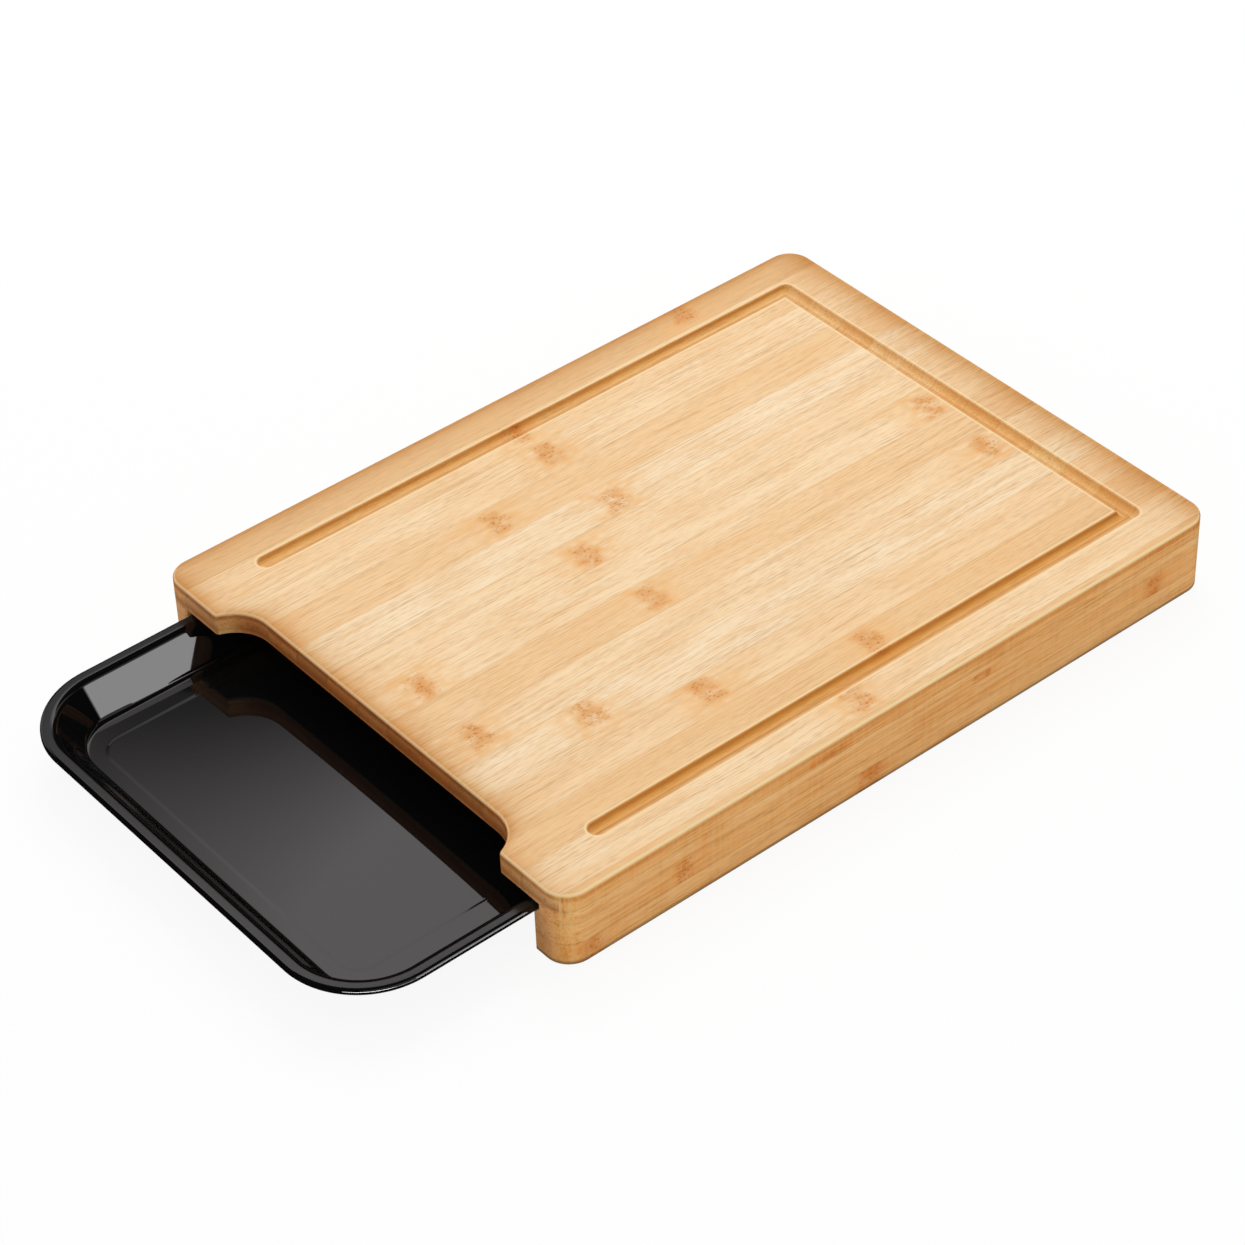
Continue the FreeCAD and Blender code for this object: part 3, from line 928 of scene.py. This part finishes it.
@dataclass(frozen=True)
class Tray:
    """The moulded tray, drawn as a section that a rounded outline is inset along."""

    half_width: float = 0.1245
    front: float = -0.23925
    rear: float = 0.11975
    corner: float = 0.0408
    rim_top: float = 0.0259
    rim_under: float = 0.0235
    rim_width: float = 0.0066
    rim_round: float = 0.0018
    hollow_round: float = 0.0046
    wall_run: float = 0.0118
    depth: float = 0.0168
    wall_skin: float = 0.0024
    floor_thickness: float = 0.002
    floor_round: float = 0.003
    panel_side: float = 0.0134
    panel_end: float = 0.0094
    panel_corner: float = 0.0095
    panel_rise: float = 0.00008
    panel_slope: float = 0.0022
    # The panel's edge, as shares of its slope and of its rise
    panel_ramp: Section = ((0.3, 0.15), (0.7, 0.85), (1.0, 1.0))
    foot_width: float = 0.002
    foot_drop: float = 0.0012
    corner_steps: int = 32
    round_steps: int = 9
    sharp_angle: float = 32.0

    @property
    def lean(self) -> float:
        """The wall's angle from upright, in degrees."""
        return math.degrees(math.atan2(self.wall_run, self.depth))

    @property
    def floor(self) -> float:
        """How high the tub's floor lies."""
        return self.rim_top - self.depth

    @property
    def under(self) -> float:
        """How high the floor's under side lies."""
        return self.floor - self.floor_thickness

    def arc(self, inset: float, height: float, radius: float, first: float, last: float) -> Section:
        """The points of a fillet in the section.

        Args:
            inset: How far in from the rim its centre lies.
            height: How high its centre lies.
            radius: Its radius.
            first: The angle that it starts at, in degrees from straight inwards.
            last: The angle that it ends at.

        Returns:
            Its points, each as the inset and the height.
        """
        steps = self.round_steps
        turns = [math.radians(first + (last - first) * step / steps) for step in range(steps + 1)]
        return [
            (inset + radius * math.cos(turn), height + radius * math.sin(turn)) for turn in turns
        ]

    def upper_section(self) -> Section:
        """Draws the upper side, from the rim's lower edge inwards to the floor.

        Returns:
            Its points.
        """
        reach = math.tan(math.radians(90 - self.lean) / 2)
        round_height = self.rim_top - self.rim_round
        hollow_in = self.rim_width - self.hollow_round * reach
        hollow_height = self.rim_top - self.hollow_round
        floor_in = self.rim_width + self.wall_run + self.floor_round * reach
        floor_height = self.floor + self.floor_round
        return [
            (0.0, self.rim_under),
            *self.arc(self.rim_round, round_height, self.rim_round, 180, 90),
            *self.arc(hollow_in, hollow_height, self.hollow_round, 90, self.lean),
            *self.arc(floor_in, floor_height, self.floor_round, 180 + self.lean, 270),
        ]

    def under_section(self) -> Section:
        """Draws the under side, from the rim's lower edge inwards to the floor.

        Returns:
            Its points.
        """
        slope = self.wall_run / self.depth
        radius = self.floor_round + self.floor_thickness
        tub_in = self.rim_width + slope * (self.rim_top - self.rim_under) - self.wall_skin
        foot_in = tub_in + slope * (self.rim_under - self.under)
        centre_in = foot_in + radius * math.tan(math.radians(90 - self.lean) / 2)
        return [
            (0.0, self.rim_under),
            (tub_in, self.rim_under),
            *self.arc(centre_in, self.under + radius, radius, 180 + self.lean, 270),
        ]

    def outline(
        self, mesh: bmesh.types.BMesh, side: float, end: float, corner: float, height: float
    ) -> bmesh.types.BMFace:
        """A flat face that is a rectangle with rounded corners.

        Args:
            mesh: The mesh that it is added to.
            side: How far in from the tray's long sides it lies.
            end: How far in from the tray's ends it lies.
            corner: The radius of its corners.
            height: How high it lies.

        Returns:
            The face, which looks up.
        """
        earlier = set(mesh.faces)
        block = bmesh.ops.create_cube(mesh, size=1.0)["verts"]
        length, thickness = self.rear - self.front - 2 * end, 0.01
        size = Matrix.Diagonal((2 * (self.half_width - side), length, thickness, 1.0))
        place = Matrix.Translation((0.0, (self.rear + self.front) / 2, height - thickness / 2))
        bmesh.ops.transform(mesh, matrix=place @ size, verts=block)
        edges = dict.fromkeys(edge for vert in block for edge in vert.link_edges)
        upright = [edge for edge in edges if self.is_upright(edge)]
        bmesh.ops.bevel(
            mesh, geom=upright, offset=corner, offset_type="OFFSET", affect="EDGES",
            segments=self.corner_steps, profile=0.5, material=-1,
        )
        made = [face for face in mesh.faces if face not in earlier]
        lid = max(made, key=lambda face: face.calc_center_median().z)
        bmesh.ops.delete(mesh, geom=[face for face in made if face is not lid], context="FACES")
        return lid

    @staticmethod
    def is_upright(edge: bmesh.types.BMEdge) -> bool:
        """Whether an edge stands upright."""
        return abs(edge.verts[0].co.z - edge.verts[1].co.z) > LEVEL

    @staticmethod
    def follow(
        mesh: bmesh.types.BMesh, face: bmesh.types.BMFace, section: Section
    ) -> bmesh.types.BMFace:
        """Insets a face step by step, so that its edge sweeps out a section.

        Args:
            mesh: The face's mesh.
            face: The face, which lies at the section's first point.
            section: The section's points, each as the inset and the height.

        Returns:
            The face, which now lies at the section's last point.
        """
        way = 1.0 if face.normal.z > 0 else -1.0
        for (inset, height), (next_inset, next_height) in zip(section, section[1:]):
            bmesh.ops.inset_individual(
                mesh, faces=[face], thickness=next_inset - inset,
                depth=(next_height - height) * way, use_even_offset=True,
            )
        return face

    def add_panel(
        self, mesh: bmesh.types.BMesh, floor: bmesh.types.BMFace, margin: float, section: Section
    ) -> None:
        """Cuts a panel's outline out of a floor and carries its edge along a section.

        Args:
            mesh: The mesh.
            floor: The floor's face, which is replaced by what is left of it round the panel.
            margin: How much larger than the panel the outline is.
            section: The section's points, each as the inset and the height.
        """
        height = floor.calc_center_median().z
        looks_up = floor.normal.z > 0
        inset = self.rim_width + self.wall_run - margin
        corner = self.panel_corner + margin
        side, end = inset + self.panel_side, inset + self.panel_end
        panel = self.outline(mesh, side, end, corner, height)
        if not looks_up:
            bmesh.ops.reverse_faces(mesh, faces=[panel])
        edges = [*floor.edges, *panel.edges]
        bmesh.ops.delete(mesh, geom=[floor], context="FACES_ONLY")
        bmesh.ops.triangle_fill(mesh, edges=edges, use_beauty=True, normal=(0, 0, 1))
        panel.normal_update()
        self.follow(mesh, panel, section)

    def build(self) -> bpy.types.Object:
        """Sweeps both sides of the shell from the rim's lower edge and welds them there.

        Returns:
            The tray.
        """
        mesh = bmesh.new()
        top = self.outline(mesh, 0.0, 0.0, self.corner, self.rim_under)
        top = self.follow(mesh, top, self.upper_section())
        rise, slope = self.panel_rise, self.panel_slope
        ramp = [(slope * along, rise * up) for along, up in self.panel_ramp]
        self.add_panel(mesh, top, slope, [(0.0, 0.0), *ramp])
        bottom = self.outline(mesh, 0.0, 0.0, self.corner, self.rim_under)
        bmesh.ops.reverse_faces(mesh, faces=[bottom])
        bottom.normal_update()
        bottom = self.follow(mesh, bottom, self.under_section())
        wide, drop = self.foot_width, self.foot_drop
        foot = [(0.0, 0.0), (0.0, -drop), (wide, -drop), (wide, 0.0)]
        self.add_panel(mesh, bottom, wide, foot)
        bmesh.ops.remove_doubles(mesh, verts=mesh.verts, dist=WELD)
        bmesh.ops.recalc_face_normals(mesh, faces=mesh.faces)
        piece = add_object("drawer_tray", mesh)
        piece.data.polygons.foreach_set("use_smooth", [True] * len(piece.data.polygons))
        piece.data.set_sharp_from_angle(angle=math.radians(self.sharp_angle))
        weighted = piece.modifiers.new("even_shading", "WEIGHTED_NORMAL")
        weighted.keep_sharp = True
        weighted.weight = 100
        return piece

    def dress(self, piece: bpy.types.Object) -> None:
        """Gives the tray its finish, and puts it in place of the CAD tray.

        Args:
            piece: The tray.
        """
        piece.data.materials.append(GlossPlastic().material())
        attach(piece, "tray")
        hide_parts("tray")
        log.info("tray: %d faces", len(piece.data.polygons))


# Studio


@dataclass(frozen=True)
class Viewpoint:
    """The camera: angles in degrees about the middle of the board, and how far off it stands."""

    azimuth: float = 51.47
    elevation: float = 40.272
    roll: float = -2.14
    across: float = -0.030906
    upwards: float = -0.005725
    distance: float = 1.758261
    focal_px: float = 3837.5
    frame_px: float = 1245.0
    sensor_mm: float = 36.0
    far_clip: float = 50.0

    def build(self) -> None:
        """Adds the camera and makes it the scene's own."""
        turn, lift = math.radians(self.azimuth), math.radians(self.elevation)
        tilt = math.radians(self.roll)
        back = Vector(
            (math.sin(turn) * math.cos(lift), -math.cos(turn) * math.cos(lift), math.sin(lift))
        )
        level = Vector((math.cos(turn), math.sin(turn), 0.0))
        upright = back.cross(level)
        right = level * math.cos(tilt) + upright * math.sin(tilt)
        up = upright * math.cos(tilt) - level * math.sin(tilt)
        place = right * self.across + up * self.upwards + back * self.distance
        data = bpy.data.cameras.new("camera")
        data.sensor_width = self.sensor_mm
        data.lens = self.focal_px / self.frame_px * self.sensor_mm
        data.clip_end = self.far_clip
        camera = bpy.data.objects.new("camera", data)
        axes = Matrix((right, up, back)).transposed().to_4x4()
        camera.matrix_world = Matrix.Translation(place + Vector((0, BOARD_MIDDLE_Y, 0))) @ axes
        bpy.context.scene.collection.objects.link(camera)
        bpy.context.scene.camera = camera


@dataclass(frozen=True)
class Card:
    """A card that shows only in reflections, as a studio card over gloss plastic does.

    It has the strength dim up to its share start, and bright from its share stop, counted along
    across from -0.5 to 0.5. A card of no strength is a black flag.
    """

    name: str
    middle: tuple[float, float, float]
    across: tuple[float, float, float]
    facing: tuple[float, float, float]
    width: float
    height: float
    dim: float = 0.0
    bright: float = 0.0
    start: float = -0.5
    stop: float = 0.5
    fade: float = 1.6
    tint: Colour = (1.0, 1.0, 1.0, 1.0)

    def build(self, mirrors: bpy.types.Collection) -> None:
        """Adds the card.

        Args:
            mirrors: The polished pieces, the only ones that a lit card shows in.
        """
        card = add_plane(self.name, 1.0)
        facing, across = Vector(self.facing).normalized(), Vector(self.across)
        across = (across - facing * across.dot(facing)).normalized()
        axes = Matrix((across, facing.cross(across), facing)).transposed().to_4x4()
        size = Matrix.Diagonal((self.width, self.height, 1.0, 1.0))
        card.matrix_world = Matrix.Translation(self.middle) @ axes @ size
        card.visible_camera = card.visible_diffuse = card.visible_shadow = False
        card.visible_transmission = False
        if self.bright > 0:
            card.light_linking.receiver_collection = mirrors
        made = bpy.data.materials.new(self.name)
        graph = Graph(made)
        along = graph.split(graph.add("ShaderNodeTexCoord", {}, {}, "Object"))[0]
        share = ((along - self.start) / (self.stop - self.start)).within(0.0, 1.0)
        strength = share**self.fade * (self.bright - self.dim) + self.dim
        light = {"Color": self.tint, "Strength": strength}
        graph.finish(graph.add("ShaderNodeEmission", {}, light))
        card.data.materials.append(made)


@dataclass(frozen=True)
class Studio:
    """A plain pale floor, even light from all round, and one broad lamp above and behind."""

    floor_side: float = 12.0
    ambient: float = 0.88
    lamp_power: float = 21.8
    lamp_size: float = 1.6
    lamp_place: tuple[float, float, float] = (-0.9, 0.9, 2.0)
    floor_colour: Colour = (0.94, 0.94, 0.94, 1.0)
    floor_white: float = 0.91
    cards: tuple[Card, ...] = (
        Card(
            "card_over", middle=(-0.763, 0.3, 0.9), across=(1, 0, 0), facing=(0, 0, -1),
            width=0.526, height=1.2, dim=0.27, bright=2.46, start=-0.462, stop=0.047,
            tint=(1.0, 0.93, 0.95, 1.0),
        ),
        Card(
            "card_beside", middle=(1.192, 0.42, 0.4986), across=(0, -1, 0),
            facing=(-0.85, -0.4, -0.3), width=0.614, height=0.6, bright=7.6, stop=-0.34,
        ),
        Card(
            "strip_right", middle=(2.0, 0.3, 0.09), across=(0, 1, 0), facing=(-1, 0, 0),
            width=2.4, height=0.14, dim=22.0, bright=22.0,
        ),
        Card(
            "strip_corner", middle=(1.2, -1.4, 0.11), across=(1, 1, 0), facing=(-1, 1, 0),
            width=2.6, height=0.18, dim=6.0, bright=70.0, stop=0.0,
        ),
        Card(
            "flag_under", middle=(0.0, 0.0, 0.0004), across=(1, 0, 0), facing=(0, 0, 1),
            width=4.0, height=4.0,
        ),
        Card(
            "flag_front", middle=(-0.6, -1.7, 1.1), across=(1, 0, 0), facing=(0, 1, 0),
            width=4.4, height=2.2,
        ),
        Card(
            "flag_rear", middle=(-2.25, 2.0, 1.1), across=(1, 1, 0), facing=(0.75, -0.66, 0),
            width=4.4, height=2.2,
        ),
        Card(
            "flag_beside", middle=(0.9, 2.5, 1.1), across=(1, 0, 0), facing=(-0.34, -0.94, 0),
            width=3.6, height=2.2,
        ),
        Card(
            "flag_over", middle=(-0.3, 0.0, 1.9), across=(1, 0, 0), facing=(0, 0, -1),
            width=3.6, height=3.6,
        ),
    )

    def seen(self, graph: Graph) -> Wire:
        """Tells what is looked at, straight or in a reflection, from what lights the object.

        Args:
            graph: The tree of the floor's material or of the world.

        Returns:
            1 for rays from the eye, a reflection or a clear piece, and 0 for light itself.
        """
        camera = graph.add("ShaderNodeLightPath", {}, {}, "Is Camera Ray")
        outputs = camera.socket.node.outputs
        glossy = Wire(graph, outputs["Is Glossy Ray"])
        clear = Wire(graph, outputs["Is Transmission Ray"])
        return camera.most(glossy).most(clear)

    def build_world(self) -> None:
        """White to the eye and in reflections, and an even grey as light."""
        world = bpy.data.worlds.new("studio")
        bpy.context.scene.world = world
        graph = Graph(world)
        strength = self.seen(graph) * (1 - self.ambient) + self.ambient
        lit = graph.add("ShaderNodeBackground", {}, {"Strength": strength})
        graph.finish(lit, "ShaderNodeOutputWorld")

    def build_floor(self) -> None:
        """A pale floor that the object's shadow falls on."""
        floor = add_plane("floor", self.floor_side)
        made = bpy.data.materials.new("floor")
        graph = Graph(made)
        matt = graph.add("ShaderNodeBsdfDiffuse", {}, {"Color": self.floor_colour})
        white = graph.add("ShaderNodeEmission", {}, {"Strength": 1.0})
        share = self.seen(graph) * self.floor_white
        graph.finish(graph.add("ShaderNodeMixShader", {}, {0: share, 1: matt, 2: white}))
        floor.data.materials.append(made)

    def build_lamp(self) -> None:
        """One broad lamp above, behind and to the left."""
        data = bpy.data.lights.new("lamp", "AREA")
        data.shape = "DISK"
        data.size = self.lamp_size
        data.energy = self.lamp_power
        lamp = bpy.data.objects.new("lamp", data)
        lamp.location = self.lamp_place
        aim = Vector((0, BOARD_MIDDLE_Y, 0)) - lamp.location
        lamp.rotation_euler = aim.to_track_quat("-Z", "Y").to_euler()
        lamp.visible_glossy = False
        bpy.context.scene.collection.objects.link(lamp)

    def build(self, polished: Iterable[bpy.types.Object]) -> None:
        """Builds the studio round the object.

        Args:
            polished: The pieces that the lit cards show in.
        """
        self.build_world()
        self.build_floor()
        self.build_lamp()
        mirrors = bpy.data.collections.new("mirrors")
        for piece in polished:
            mirrors.objects.link(piece)
        for card in self.cards:
            card.build(mirrors)
        view = bpy.context.scene.view_settings
        view.view_transform = "Standard"
        log.info("studio: floor, world, lamp and cards")


def main() -> None:
    """Builds the camera, the board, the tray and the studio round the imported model."""
    logging.basicConfig(level=logging.INFO, format="%(name)s: %(message)s")
    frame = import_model()
    Viewpoint().build()
    Board().dress(frame["nodes"])
    tray = Tray()
    tub = tray.build()
    tray.dress(tub)
    Studio().build([tub])


if __name__ == "__main__":
    main()
